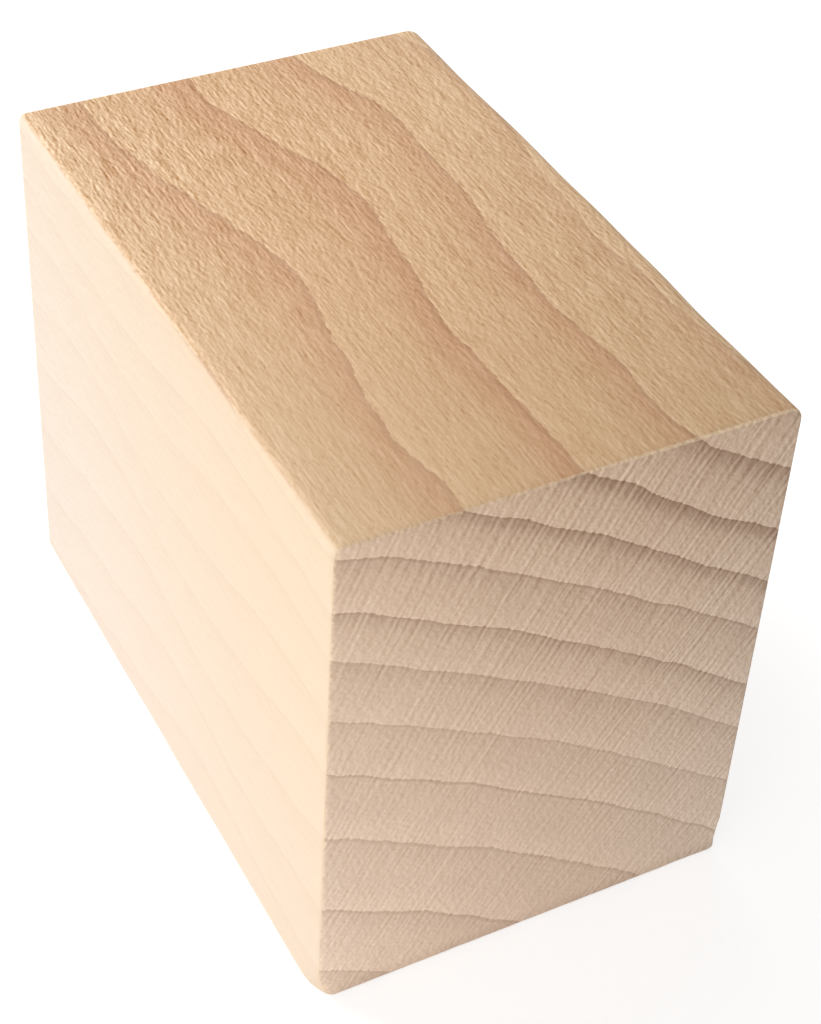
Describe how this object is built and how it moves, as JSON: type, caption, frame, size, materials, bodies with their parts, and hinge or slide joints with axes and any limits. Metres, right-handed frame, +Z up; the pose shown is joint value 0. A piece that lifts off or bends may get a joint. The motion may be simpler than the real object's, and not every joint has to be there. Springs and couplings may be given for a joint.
{
  "type": "furniture leg",
  "caption": "Short rectangular leg blank of solid pale beech with softened long edges and plain sawn ends.",
  "frame": {"origin": "centre of the long side that the leg lies on", "axes": "+Z up, square to the resting side; +Y along the leg, from the sawn end that shows to the far end; +X across it, to the right as seen facing the sawn end"},
  "size_m": [0.04, 0.063, 0.051],
  "materials": {
    "beech": "bare, planed sides and fine sawn ends"
  },
  "bodies": {
    "root": {"leg": "beech"}
  },
  "joints": []
}
